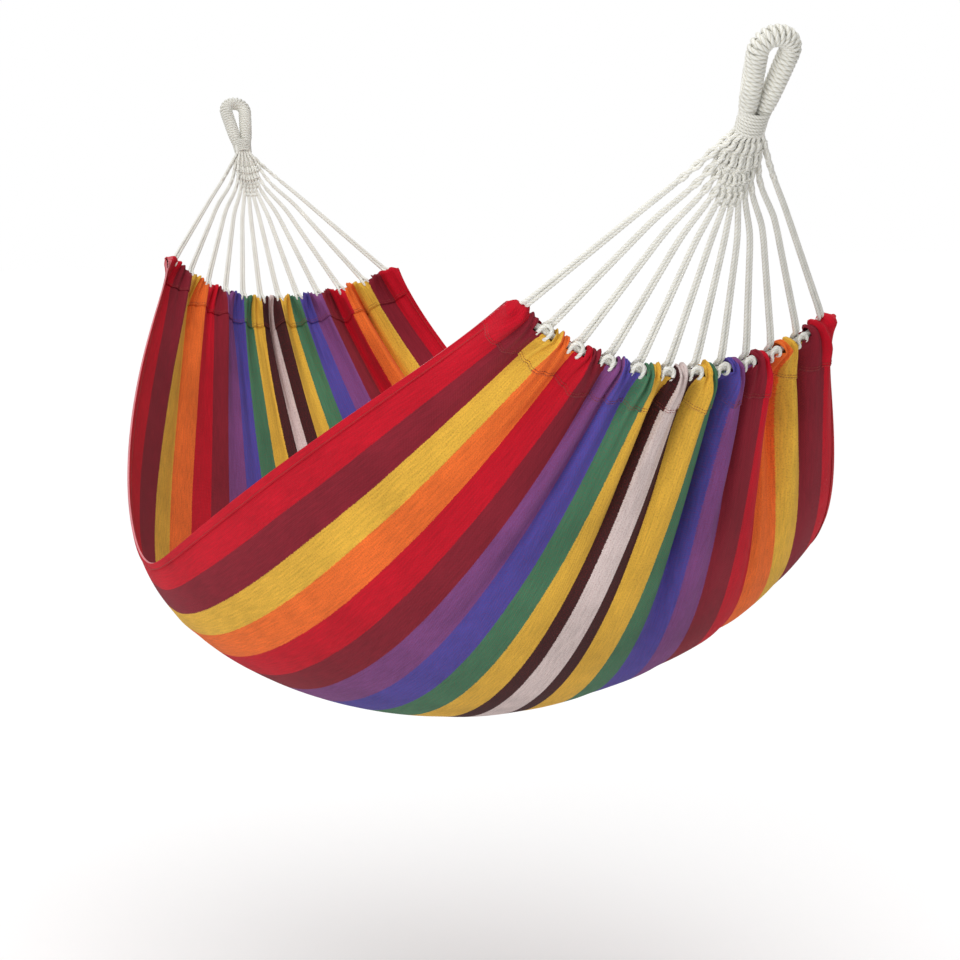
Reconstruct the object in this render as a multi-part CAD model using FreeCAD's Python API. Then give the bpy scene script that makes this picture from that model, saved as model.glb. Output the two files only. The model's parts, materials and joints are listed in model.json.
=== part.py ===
import FreeCAD, Part
import math
import os

"""A striped cotton hammock: a woven bed slung from a fan of doubled cords at each end.

Millimetres, +Z up, +X along the hammock towards its near end. The origin is the point inside the
near eye where a hook bears. The two ends mirror each other, so far-end pieces are near-end pieces
reflected in the plane half way along. The hammock is modelled as it hangs, open and empty.
"""

# ---- Driving dimensions: the whole hammock -------------------------------------------------
neck_span = 2000.0            # between the two necks, where cords and eyes meet
fan_radius = 298.0            # neck to hem along the middle cords
fan_corner_extra_front = 17.0  # the corner cords are this much longer than the middle ones
fan_corner_extra_back = 60.0
fan_half_angle = 34.4         # degrees, from the middle of the fan to a corner cord
fan_slope = 57.2              # degrees below level, middle of the fan
fan_slope_loss = 13.7         # degrees that the corner cords lie flatter
attachments = 12              # doubled cords at each end

# ---- Driving dimensions: the bed half way along ---------------------------------------------
bed_half_width = 400.0        # middle to selvedge
selvedge_drop = 552.0         # necks down to the selvedges
belly_drop = 218.0            # selvedges down to the lowest cloth
belly_angle = 79.0            # degrees of the ellipse between the lowest cloth and a selvedge
width_power = 1.22            # how soon the bed opens out from the hems, at its middle ...
width_power_front = 0.23      # ... how much sooner at the selvedge pulled straight, on -Y ...
width_power_back = 1.40       # ... and at the slack one
sag_power = 1.97              # how full the sag is at the middle ...
sag_power_front = -0.97       # ... how much less at the selvedge pulled straight ...
sag_power_back = 1.04         # ... and how much more at the slack one
middle_ease = 0.12            # share of the half length over which the two halves round together

# ---- Driving dimensions: cloth, cords and eyes ----------------------------------------------
cloth_thickness = 1.2
casing_layers = 2             # the end hem is the cloth folded double
hem_depth = 50.0              # end rope down to the hem's stitching
casing_wall = 1.6             # cloth round the end rope
end_rope_radius = 4.0         # the rope hidden in the end hem
end_rope_overhang = 8.0       # past the corner cords
cord_radius = 2.5
strand_nip = 0.1              # how far the two strands of a doubled cord press into each other
hitch_nip = 0.4               # how far a hitch flattens the cord round the end rope
clew_thickness = 9.0
neck_ball_radius = 12.0       # rounded head of the woven cords, which flexes in the neck
neck_wrap_wall = 4.6          # beside the head
neck_wrap_crown = 11.6        # above the head
eye_slope = 55.0              # degrees above level
eye_reach = 98.0              # neck to where a hook bears
eye_inner_radius = 5.5        # where the hook bears
eye_wrap_radius = 11.5
eye_core_radius = 7.6
eye_limb_gap = 0.4            # between the limbs at the neck

# ---- Clearances --------------------------------------------------------------------------
rope_clearance = 0.4          # end rope in its casing and in the hitches
notch_clearance = 0.6         # hitches in the notches of the casing
joint_clearance = 0.4         # woven head in the neck
pair_gap = 0.5                # between doubled cords where they meet the woven clew
cord_gap = 0.15               # cord ends to the woven clew
core_clearance = 0.2          # eye core in its wrap

# ---- Sizes that follow from these ------------------------------------------------------------
casing_thickness = casing_layers * cloth_thickness
cord_spacing = 2 * cord_radius - strand_nip
pair_width = cord_spacing + 2 * cord_radius
hitch_wall = 2 * cord_radius - hitch_nip
cord_pitch = 2 * math.radians(fan_half_angle) / (attachments - 1)
clew_radius = (pair_width + pair_gap) / cord_pitch     # where the doubled cords lie side by side
neck_recess_radius = neck_ball_radius + joint_clearance
neck_wrap_radius = neck_recess_radius + neck_wrap_wall
neck_wrap_height = neck_recess_radius + neck_wrap_crown
eye_bend_radius = eye_inner_radius + eye_wrap_radius
eye_limb_spacing = 2 * eye_wrap_radius + eye_limb_gap

# ---- Panels of the bed and sections of an eye, each one simple piece ----------------------
panels_along = 8
panels_across = 7
patch_points = 7              # points each way through which a patch is drawn
crown_sections = 5            # round the crown of an eye

LENGTHWISE, SIDEWAYS = FreeCAD.Vector(1, 0, 0), FreeCAD.Vector(0, 1, 0)
eye_axis = FreeCAD.Vector(math.cos(math.radians(eye_slope)), 0, math.sin(math.radians(eye_slope)))
near_neck = eye_axis * -eye_reach
middle_x = near_neck.x - neck_span / 2
hitch_stations = [-1 + 2 * i / (attachments - 1) for i in range(attachments)]


# ---- The hanging shape ---------------------------------------------------------------------
def fan_direction(across):
    """Unit vector from the near neck down the fan; across runs from -1 to 1, one corner to the other."""
    spread = math.radians(fan_half_angle) * across
    slope = math.radians(fan_slope - fan_slope_loss * across ** 2)
    return FreeCAD.Vector(-math.cos(spread) * math.cos(slope), math.sin(spread),
                          -math.cos(spread) * math.sin(slope))


def fan_point(across, radius):
    return near_neck + fan_direction(across) * radius


def row_point(across):
    """A point on the near end rope."""
    corner_extra = fan_corner_extra_front if across < 0 else fan_corner_extra_back
    return fan_point(across, fan_radius + corner_extra * across ** 2)


def middle_point(across):
    """A point of the cloth half way along: part of an ellipse from selvedge to selvedge."""
    limit = math.radians(belly_angle)
    turn = across * limit
    fullness = (math.cos(turn) - math.cos(limit)) / (1 - math.cos(limit))
    return FreeCAD.Vector(middle_x, bed_half_width * math.sin(turn) / math.sin(limit),
                          near_neck.z - selvedge_drop - belly_drop * fullness)


def bed_point(across, along):
    """A point of the cloth; along runs from -1 at the far end rope to 1 at the near one."""
    row, middle = row_point(across), middle_point(across)
    reach = (math.hypot(along, middle_ease) - middle_ease) / (math.hypot(1, middle_ease) - middle_ease)
    width_edge = width_power_front if across < 0 else width_power_back
    sag_edge = sag_power_front if across < 0 else sag_power_back
    opened = 1 - reach ** (width_power + width_edge * across ** 2)
    sagged = 1 - reach ** (sag_power + sag_edge * across ** 2)
    return FreeCAD.Vector(middle_x + (row.x - middle_x) * along,
                          row.y + (middle.y - row.y) * opened,
                          row.z + (middle.z - row.z) * sagged)


def hem_line(across, depth):
    """The value of along at a depth below the near end rope, measured on the cloth."""
    step = 0.001
    pace = (bed_point(across, 1) - bed_point(across, 1 - step)).Length / step
    return 1 - depth / pace


def bed_surface(across, part):
    return bed_point(across, part * hem_line(across, hem_depth))


def casing_surface(across, part):
    rope_side = end_rope_radius + rope_clearance + casing_wall / 2
    return bed_point(across, hem_line(across, hem_depth + part * (rope_side - hem_depth)))


# ---- Building blocks -----------------------------------------------------------------------
def spaced(low, high, count):
    return [low + (high - low) * i / (count - 1) for i in range(count)]


def patch(surface, first, second, thickness, count=patch_points):
    """A closed solid on a surface, over a range of each of its two values, half of it each side."""
    step = 1e-4

    def skin(side):
        grid = []
        for u in spaced(first[0], first[1], count):
            row = []
            for v in spaced(second[0], second[1], count):
                normal = (surface(u + step, v) - surface(u - step, v)).cross(
                    surface(u, v + step) - surface(u, v - step))
                row.append(surface(u, v) + normal.normalize() * side * thickness / 2)
            grid.append(row)
        drawn = Part.BSplineSurface()
        drawn.interpolate(grid)
        return drawn

    lower, upper = skin(-1), skin(1)
    u0, u1, v0, v1 = lower.bounds()
    edges = [[each.uIso(u0), each.uIso(u1), each.vIso(v0), each.vIso(v1)] for each in (lower, upper)]
    faces = [lower.toShape(), upper.toShape()]
    for low_edge, high_edge in zip(*edges):
        faces.append(Part.makeRuledSurface(low_edge.toShape(), high_edge.toShape()))
    shell = Part.makeShell(faces)
    shell.sewShape()
    solid = Part.makeSolid(shell)
    if solid.Volume < 0:
        solid.reverse()
    return solid


def rod(start, end, radius):
    run = end - start
    return Part.makeCylinder(radius, run.Length, start, run)


def tube(start, end, inner, outer):
    return rod(start, end, outer).cut(rod(start, end, inner))


def sweep(path, radius):
    """A round section carried along a path of lines and arcs."""
    start = path.Edges[0].valueAt(path.Edges[0].FirstParameter)
    heading = path.Edges[0].tangentAt(path.Edges[0].FirstParameter)
    section = Part.Wire(Part.Circle(start, heading, radius).toShape())
    return path.makePipeShell([section], True, False, 1)


def mirrored(shape):
    """The same piece at the far end."""
    return shape.mirror(FreeCAD.Vector(middle_x, 0, 0), LENGTHWISE)


# ---- The pieces of the near end ------------------------------------------------------------
hitches = [row_point(across) for across in hitch_stations]


def rope_heading(index):
    """Direction of the end rope where a cord is hitched to it."""
    before, after = hitches[max(index - 1, 0)], hitches[min(index + 1, attachments - 1)]
    return (after - before).normalize()


def end_rope():
    first = hitches[0] - rope_heading(0) * end_rope_overhang
    last = hitches[-1] + rope_heading(attachments - 1) * end_rope_overhang
    return sweep(Part.makePolygon([first] + hitches + [last]), end_rope_radius)


def hitched_cord(index):
    """A doubled cord from the clew to the end rope, with its turns round the rope."""
    hitch = hitches[index]
    climb = (near_neck - hitch).normalize()
    beside = rope_heading(index)
    beside = (beside - climb * beside.dot(climb)).normalize()
    bore = end_rope_radius + rope_clearance
    half = rope_heading(index) * (pair_width / 2)
    collar = tube(hitch - half, hitch + half, bore, bore + hitch_wall)
    foot = hitch + climb * (bore + hitch_wall / 2)
    head = near_neck - climb * (clew_radius + cord_gap)
    strands = [rod(foot + beside * offset, head + beside * offset, cord_radius)
               for offset in (-cord_spacing / 2, cord_spacing / 2)]
    return collar.fuse(strands).removeSplitter()


def casing():
    """The end hem: one sleeve of doubled cloth between each two hitches."""
    bore = end_rope_radius + rope_clearance
    bite = math.hypot(bore + hitch_wall, pair_width / 2) + notch_clearance
    sleeves = []
    for i in range(attachments - 1):
        flat = patch(casing_surface, (hitch_stations[i], hitch_stations[i + 1]), (0, 1), casing_thickness)
        sleeve = flat.fuse(rod(hitches[i], hitches[i + 1], bore + casing_wall))
        for hitch in hitches[i:i + 2]:
            sleeve = sleeve.cut(Part.makeSphere(bite, hitch))
        sleeves.append(sleeve.cut(rod(hitches[i], hitches[i + 1], bore)).removeSplitter())
    return Part.makeCompound(sleeves)


def clew():
    """The woven top of the fan, with the rounded head that sits in the neck."""
    fan = patch(fan_point, (-1, 1), (neck_ball_radius / 2, clew_radius), clew_thickness, 2 * patch_points)
    return fan.fuse(Part.makeSphere(neck_ball_radius, near_neck)).removeSplitter()


def neck_wrap():
    body = Part.makeCylinder(neck_wrap_radius, neck_wrap_height, near_neck, eye_axis)
    return body.cut(Part.makeSphere(neck_recess_radius, near_neck))


def eye_sections(inner, outer):
    """The two limbs and the crown of an eye as short round sections, solid where inner is 0."""
    def place(height, aside):
        return near_neck + eye_axis * height + SIDEWAYS * aside

    def section(centre, heading):
        ring = Part.Face(Part.Wire(Part.Circle(centre, heading, outer).toShape()))
        if inner:
            ring = ring.cut(Part.Face(Part.Wire(Part.Circle(centre, heading, inner).toShape())))
        return ring

    rise = eye_reach - eye_inner_radius
    drop, aside = rise - neck_wrap_height, eye_limb_spacing / 2
    lean = math.atan2(aside, -drop) - math.acos(eye_bend_radius / math.hypot(drop, aside))
    seat = Part.makeCylinder(3 * neck_wrap_radius, neck_wrap_height, near_neck, eye_axis)
    sections = []
    for side in (1, -1):
        foot = place(neck_wrap_height, side * aside)
        bend = place(rise + eye_bend_radius * math.cos(lean), side * eye_bend_radius * math.sin(lean))
        run = bend - foot
        foot -= run * (eye_wrap_radius / 2 / run.Length)       # a little long, then trimmed flush
        sections.append(section(foot, run).extrude(bend - foot).cut(seat))
    turn = 2 * lean / crown_sections
    across_eye = eye_axis.cross(SIDEWAYS)
    for i in range(crown_sections):
        start = lean - i * turn
        centre = place(rise + eye_bend_radius * math.cos(start), eye_bend_radius * math.sin(start))
        heading = eye_axis * -math.sin(start) + SIDEWAYS * math.cos(start)
        sections.append(section(centre, heading).revolve(place(rise, 0), across_eye, -math.degrees(turn)))
    return sections


def bed_cloth():
    """The woven bed, as a quilt of simple curved panels that meet edge to edge."""
    lines_across = spaced(-1, 1, panels_across + 1)
    lines_along = spaced(-1, 1, panels_along + 1)
    panels = [patch(bed_surface, across, along, cloth_thickness)
              for across in zip(lines_across, lines_across[1:])
              for along in zip(lines_along, lines_along[1:])]
    return Part.makeCompound(panels)


# ---- The nodes -----------------------------------------------------------------------------
core = eye_sections(0, eye_core_radius)
near_pieces = {"eye_core": core[0].fuse(core[1:]).removeSplitter(),
               "eye_wrap": Part.makeCompound(eye_sections(eye_core_radius + core_clearance, eye_wrap_radius)),
               "neck_wrap": neck_wrap(),
               "clew": clew(),
               "end_casing": casing(),
               "end_rope": end_rope()}
for number in range(attachments):
    near_pieces["cord_%02d" % (number + 1)] = hitched_cord(number)

nodes = {"bed_cloth": bed_cloth()}
for name, shape in near_pieces.items():
    nodes["near_" + name] = shape
    nodes["far_" + name] = mirrored(shape)

os.makedirs("parts", exist_ok=True)
for name, shape in nodes.items():
    shape.exportStep("parts/%s.step" % name)
    box = shape.BoundBox
    print("%-16s %2d solids  %10.1f mm3  x %7.1f %7.1f  y %6.1f %6.1f  z %6.1f %6.1f  valid %s"
          % (name, len(shape.Solids), shape.Volume, box.XMin, box.XMax, box.YMin, box.YMax,
             box.ZMin, box.ZMax, shape.isValid()))


def cloth_length(across):
    points = [bed_point(across, along) for along in spaced(-1, 1, 201)]
    return sum((b - a).Length for a, b in zip(points, points[1:]))


def cloth_width(along):
    points = [bed_point(across, along) for across in spaced(-1, 1, 201)]
    return sum((b - a).Length for a, b in zip(points, points[1:]))


print("cloth length at the middle %.0f, half way out %.0f %.0f, at the selvedges %.0f %.0f"
      % (cloth_length(0), cloth_length(-0.5), cloth_length(0.5), cloth_length(-1), cloth_length(1)))
print("cloth width half way along %.0f, at the end rope %.0f" % (cloth_width(0), cloth_width(1)))
print("swing axis at z %.2f, far neck x %.2f, far hook x %.2f"
      % (near_neck.z, 2 * middle_x - near_neck.x, 2 * middle_x))
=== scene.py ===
# %% [markdown]
# # A striped cotton hammock
#
# This lesson dresses the CAD frame of a hammock: a woven bed, its hems, the doubled cords, the
# woven tops of the two cord fans and the whipped eyes. Every piece is built in metres in the
# frame's own coordinates, +X along the hammock and +Z up, so nothing has to be fitted later.

# %% Load the frame
import json
import math

import bpy
import numpy as np
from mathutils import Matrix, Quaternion, Vector


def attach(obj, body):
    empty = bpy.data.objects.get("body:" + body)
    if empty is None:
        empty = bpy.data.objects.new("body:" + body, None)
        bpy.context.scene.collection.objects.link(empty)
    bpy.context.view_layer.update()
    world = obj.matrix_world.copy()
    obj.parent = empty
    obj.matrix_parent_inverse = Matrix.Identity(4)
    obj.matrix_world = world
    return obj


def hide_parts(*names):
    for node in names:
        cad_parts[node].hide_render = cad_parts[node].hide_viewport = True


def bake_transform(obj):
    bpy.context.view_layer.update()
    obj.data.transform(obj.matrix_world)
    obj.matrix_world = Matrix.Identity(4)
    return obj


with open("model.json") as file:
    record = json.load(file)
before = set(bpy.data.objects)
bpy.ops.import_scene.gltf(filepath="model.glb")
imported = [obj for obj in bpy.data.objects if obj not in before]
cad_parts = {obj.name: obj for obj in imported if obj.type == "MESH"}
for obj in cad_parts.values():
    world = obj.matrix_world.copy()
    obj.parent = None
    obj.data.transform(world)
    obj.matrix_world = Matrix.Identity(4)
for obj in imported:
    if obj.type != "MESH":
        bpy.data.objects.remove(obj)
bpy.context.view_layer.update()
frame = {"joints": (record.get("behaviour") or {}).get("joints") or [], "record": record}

# %% [markdown]
# The necks, where cords and eyes meet, lie on the swing joint's axis, and the hooks are the
# frame's two mounts. Half way between the hooks is the plane in which the two ends mirror.

# %% Places that come from the frame
mounts = {mount["name"]: Vector(mount["pos_m"]) for mount in frame["record"]["mounts"]}
near_neck = np.array(frame["joints"][0]["pos_m"])
middle_x = (mounts["near_eye"].x + mounts["far_eye"].x) / 2
eye_axis = (np.array(mounts["near_eye"]) - near_neck)
eye_reach = float(np.linalg.norm(eye_axis))
eye_axis = eye_axis / eye_reach
SIDEWAYS = np.array([0.0, 1.0, 0.0])
print("neck to hook %.1f mm, middle at x %.3f m" % (eye_reach * 1000, middle_x))

# %% [markdown]
# A hammock hangs as a fan of cords from each neck to its end rope, and a bed that opens out and
# sags between the two end ropes. A cloth simulation could find such a shape, but it would settle
# beside the CAD solids, so the same formula as in the CAD is used. `across` runs from -1 at the
# front selvedge to 1 at the back one, and `along` from -1 at the far end rope to 1 at the near one.

# %% The hanging shape
FAN_RADIUS, FAN_CORNER_EXTRA_FRONT, FAN_CORNER_EXTRA_BACK = 0.298, 0.017, 0.060
FAN_HALF_ANGLE, FAN_SLOPE, FAN_SLOPE_LOSS = math.radians(34.4), math.radians(57.2), math.radians(13.7)
ATTACHMENTS = 12                      # cords on each end rope
BED_HALF_WIDTH, SELVEDGE_DROP, BELLY_DROP = 0.400, 0.552, 0.218
BELLY_ANGLE = math.radians(79.0)      # half the arc that the bed's middle bends through
WIDTH_POWER, WIDTH_POWER_FRONT, WIDTH_POWER_BACK = 1.22, 0.23, 1.40       # how fast the bed opens out
SAG_POWER, SAG_POWER_FRONT, SAG_POWER_BACK = 1.97, -0.97, 1.04            # how fast it sags
MIDDLE_EASE = 0.12                    # rounds the bed off half way along
HEM_DEPTH = 0.050
CORD_RADIUS, END_ROPE_RADIUS = 0.0025, 0.004
CLEW_RADIUS = 0.095                   # how far the woven top reaches from the neck


def stack(x, y, z):
    """Three arrays as one array of points."""
    return np.stack(np.broadcast_arrays(x, y, z), axis=-1)


def fan_point(across, radius):
    """A point of the near end's fan, at a distance from its neck."""
    spread, slope = FAN_HALF_ANGLE * across, FAN_SLOPE - FAN_SLOPE_LOSS * across ** 2
    return stack(near_neck[0] - radius * np.cos(spread) * np.cos(slope),
                 near_neck[1] + radius * np.sin(spread),
                 near_neck[2] - radius * np.cos(spread) * np.sin(slope))


def row_radius(across):
    """Metres from the neck to the end rope: the corner cords are longer, most of all at the back."""
    extra = np.where(across < 0, FAN_CORNER_EXTRA_FRONT, FAN_CORNER_EXTRA_BACK)
    return FAN_RADIUS + extra * across ** 2


def row_point(across):
    """A point of the near end rope."""
    return fan_point(across, row_radius(across))


def bed_point(across, along):
    """A point of the smooth bed, before any pleat."""
    across, along = np.broadcast_arrays(np.asarray(across, float), np.asarray(along, float))
    row = row_point(across)
    turn = across * BELLY_ANGLE
    fullness = (np.cos(turn) - math.cos(BELLY_ANGLE)) / (1 - math.cos(BELLY_ANGLE))
    middle_y = BED_HALF_WIDTH * np.sin(turn) / math.sin(BELLY_ANGLE)
    middle_z = near_neck[2] - SELVEDGE_DROP - BELLY_DROP * fullness
    reach = (np.hypot(along, MIDDLE_EASE) - MIDDLE_EASE) / (math.hypot(1, MIDDLE_EASE) - MIDDLE_EASE)
    width_edge = np.where(across < 0, WIDTH_POWER_FRONT, WIDTH_POWER_BACK)
    sag_edge = np.where(across < 0, SAG_POWER_FRONT, SAG_POWER_BACK)
    opened = 1 - reach ** (WIDTH_POWER + width_edge * across ** 2)
    sagged = 1 - reach ** (SAG_POWER + sag_edge * across ** 2)
    return stack(middle_x + (row[..., 0] - middle_x) * along,
                 row[..., 1] + (middle_y - row[..., 1]) * opened,
                 row[..., 2] + (middle_z - row[..., 2]) * sagged)


def bed_normal(across, along):
    """Unit vector out of the cloth, towards its underside."""
    step = 1e-4
    sideways = bed_point(across + step, along) - bed_point(across - step, along)
    lengthwise = bed_point(across, along + step) - bed_point(across, along - step)
    normal = np.cross(sideways, lengthwise)
    return normal / np.linalg.norm(normal, axis=-1, keepdims=True)


middle_line = bed_point(0.0, np.linspace(-1, 1, 401))
CLOTH_LENGTH = float(np.linalg.norm(np.diff(middle_line, axis=0), axis=1).sum())
CLOTH_WIDTH = 1.0
print("cloth: %.2f m wide, %.3f m long between the end ropes" % (CLOTH_WIDTH, CLOTH_LENGTH))
print("in the middle the underside faces", np.round(bed_normal(0.0, 0.0), 2))

# %% [markdown]
# A cotton bed is woven much wider than its gathered ends, so the spare width stands in pleats.
# Each cord pulls a valley into the cloth, the cloth between two cords puffs out, fine puckers
# crowd along the end rope, and a few deep folds swallow part of a stripe. A simulation would put
# them anywhere. Formulas start them exactly at the cords, and fade them out towards the middle of
# the bed, where the cloth lies smooth. A section is the cloth between two neighbouring cords.

# %% Where the cloth is gathered
SECTIONS = ATTACHMENTS - 1
FAR, NEAR = 0, 1                      # rows of these tables
dice = np.random.default_rng(23)
puff_size = dice.uniform(0.6, 1.4, (2, SECTIONS))
puff_lean = dice.uniform(-0.9, 0.9, (2, SECTIONS))
pucker_phase = dice.uniform(0, 2 * math.pi, (2, SECTIONS))
wave_phase = dice.uniform(0, 2 * math.pi, (2, 6))
crease_phase = dice.uniform(0, 2 * math.pi, (2, 2, SECTIONS))
fold_depth = dice.uniform(0.005, 0.013, (2, ATTACHMENTS))         # of the valley at each cord
fold_gather = dice.uniform(0.30, 0.70, (2, ATTACHMENTS))          # how hard each cord draws cloth in
fold_length = dice.uniform(0.14, 0.34, (2, ATTACHMENTS))
fold_depth[NEAR, 6:11] += (0.004, 0.014, 0.010, 0.020, 0.006)     # the slack side of the near end
fold_length[NEAR, 6:11] = (0.26, 0.34, 0.30, 0.36, 0.26)
fold_gather[NEAR, 6:11] = (0.60, 0.85, 0.75, 0.90, 0.60)
tuck = np.zeros((2, SECTIONS))
tuck[FAR, 5], tuck[FAR, 9], tuck[FAR, 1] = 1.25, 1.0, 0.5         # sections pinched into a ridge
DEEP_FOLDS = (                        # end, place in sections, depth into the bed, half width, length
    (NEAR, 7.25, 0.046, 0.20, 0.46), (NEAR, 7.82, -0.008, 0.20, 0.30),
    (NEAR, 9.40, 0.036, 0.24, 0.32), (NEAR, 9.86, -0.010, 0.18, 0.30),
    (NEAR, 3.48, 0.016, 0.16, 0.45), (NEAR, 5.10, 0.012, 0.15, 0.30),
    (FAR, 8.70, -0.034, 0.30, 0.50), (FAR, 9.32, 0.018, 0.22, 0.50),
    (FAR, 3.90, -0.016, 0.22, 0.40), (FAR, 5.00, -0.018, 0.20, 0.40),
)
print("deep folds:", len(DEEP_FOLDS), "deepest %.0f mm" % (1000 * max(abs(fold[2]) for fold in DEEP_FOLDS)))

# %% Sizes of the pleats, in metres, with the lengths of cloth over which they start and fade
PUFF_SIZE, PUFF_START, PUFF_LENGTH, PUFF_ROUND = 0.016, 0.020, 0.115, 1.2
LEAN, LEAN_LENGTH = 0.22, 0.15        # how far a puff leans to one side of its section
PUCKER_SIZE, PUCKER_LENGTH, PUCKERS, PUCKER_SPREAD = 0.0030, 0.045, 7, 0.7
PUCKER_LIFT = 0.004                   # lift off the middle layer at which a pucker is full size
VALLEY_WIDTH, VALLEY_START = 0.17, 0.025
NOTCH_SPREAD, NOTCH_LENGTH = 0.9, 0.028            # a cord spreads the cloth right beside its notch
TUCK_SHIFT, TUCK_HEIGHT, TUCK_WIDTH, TUCK_LENGTH = 0.145, 0.024, 0.17, 0.45
CREASES = ((2.3, 0.0042), (4.4, 0.0022))           # count in a section, size
CREASE_START, CREASE_LENGTH = 0.018, 0.075
WAVES = ((9.0, 0.0036, 1.5), (14.0, 0.0028, -1.95), (21.0, 0.0020, 2.55),
         (31.0, 0.0014, -1.2), (44.0, 0.0008, 1.65), (5.0, 0.0034, 0.9))        # count, size, drift
WAVE_START, WAVE_LENGTH, WAVE_EDGE = 0.06, 0.42, 0.85
FOLD_START, FOLD_REACH = 0.05, 0.8
FOLD_PULL = 4.8                       # sections of cloth that a fold draws in, for each metre of depth
CORNER_FLARE, CORNER_FLARE_POWER, CORNER_FLARE_LENGTH = 0.045, 14, 0.06


# %% Pleated cloth
def grows(down, length):
    """0 at the end rope, and towards 1 further down the cloth."""
    return 1 - np.exp(-down / length)


def fades(down, length):
    """1 at the end rope, and towards 0 further down the cloth."""
    return np.exp(-down / length)


def hump(off, width):
    """1 in its middle, and towards 0 on both sides."""
    return np.exp(-(off / width) ** 2)


def pace_at_row(across):
    """Metres of cloth for each unit of along, where the cloth leaves the end rope."""
    step = 0.001
    return np.linalg.norm(bed_point(across, 1.0) - bed_point(across, 1 - step), axis=-1) / step


def gathered(share, before, after):
    """Moves a share of a section towards the cords before and after it, by how hard each gathers."""
    return share - before * share * (1 - share) ** 2 + after * (1 - share) * share ** 2


def deep_folds(end, place, down):
    """How deep the folds dip into the bed, and how many sections they draw the cloth sideways."""
    depth, drawn = 0.0, 0.0
    for fold_end, centre, size, width, length in DEEP_FOLDS:
        here = (end == fold_end) * grows(down, FOLD_START) * hump(down, length)
        off = place - centre
        depth = depth + here * size * hump(off, width)
        dip = size if fold_end == NEAR else -size      # away from the face that is meant to show
        drawn = drawn + here * FOLD_PULL * max(dip, 0.0) * np.tanh(off / width) * fades(abs(off), FOLD_REACH)
    return depth, drawn


def drawn_share(end, section, share, down, tucked):
    """Where across its section a place ends up, when the cords and the tucks have drawn the cloth."""
    spread = -NOTCH_SPREAD * fades(down, NOTCH_LENGTH)
    pulls = [spread + fold_gather[end, cord] * grows(down, VALLEY_START) * fades(down, fold_length[end, cord])
             for cord in (section, section + 1)]
    return gathered(share, *pulls) + TUCK_SHIFT * tucked * np.sin(2 * math.pi * share)


def pleat_height(end, section, share, down, tucked, lift):
    """How far puffs, tucks, puckers, valleys and creases stand off the bed, towards its underside."""
    bell = np.sin(math.pi * share)
    lean = share + LEAN * puff_lean[end, section] * bell ** 2 * fades(down, LEAN_LENGTH)
    puff = (PUFF_SIZE * puff_size[end, section] * grows(down, PUFF_START)
            * fades(down, PUFF_LENGTH) * np.sin(math.pi * lean) ** PUFF_ROUND)
    ridge = TUCK_HEIGHT * tucked * hump(share - 0.5, TUCK_WIDTH)
    ruffle = 1 + np.sin(PUCKERS * math.pi * share + pucker_phase[end, section])
    pucker = (PUCKER_SIZE * ruffle * bell ** PUCKER_SPREAD * fades(down, PUCKER_LENGTH)
              * np.clip(lift / PUCKER_LIFT, -1, 1))
    valleys = sum(fold_depth[end, cord] * hump(away, VALLEY_WIDTH) * grows(down, VALLEY_START)
                  * fades(down, fold_length[end, cord])
                  for cord, away in ((section, share), (section + 1, 1 - share)))
    crease = sum(size * np.sin(2 * math.pi * count * share + crease_phase[k, end, section])
                 for k, (count, size) in enumerate(CREASES))
    crease = crease * bell ** 0.5 * grows(down, CREASE_START) * fades(down, CREASE_LENGTH)
    return puff + ridge + pucker - valleys + crease


def pleated(across, along, lift=0.0):
    """A point of the pleated cloth, lifted off its middle layer towards the underside."""
    across, along = np.broadcast_arrays(np.asarray(across, float), np.asarray(along, float))
    end = np.where(along > 0, NEAR, FAR)
    down = np.maximum((1 - np.abs(along)) * pace_at_row(across), 0.0)    # metres from the end rope
    place = np.clip((across + 1) / 2 * SECTIONS, 0, SECTIONS - 1e-9)
    section = np.floor(place).astype(int)
    share = place - section
    tucked = tuck[end, section] * grows(down, VALLEY_START) * fades(down, TUCK_LENGTH)

    depth, drawn = deep_folds(end, place, down)
    moved = drawn_share(end, section, share, down, tucked) - drawn
    warped = np.clip(section + moved, 0, SECTIONS) / SECTIONS * 2 - 1
    flare = np.sign(across) * np.abs(across) ** CORNER_FLARE_POWER * fades(down, CORNER_FLARE_LENGTH)
    warped = warped + CORNER_FLARE * flare

    waves = sum(size * np.sin(count * across + wave_phase[end, i] + drift * down)
                for i, (count, size, drift) in enumerate(WAVES))
    waves = waves * grows(down, WAVE_START) * fades(down, WAVE_LENGTH) * np.sqrt(1 - across ** 2 * WAVE_EDGE)
    height = lift + pleat_height(end, section, share, down, tucked, lift) + waves - depth
    return bed_point(warped, along) + bed_normal(warped, along) * height[..., None]


# %% [markdown]
# Woven cloth is thin, and flat until it is hung. A plane could be bent by modifiers, but they
# can't be told where each cord pulls, so the cloth starts as one of Blender's grids, and its
# vertices are carried onto the formula. The grid's own UV map is rewritten in metres of flat
# cloth, so that stripes and weave follow the cloth however it is pleated.

# %% A sheet from a grid
CLOTH_THICKNESS = 0.0009


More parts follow.
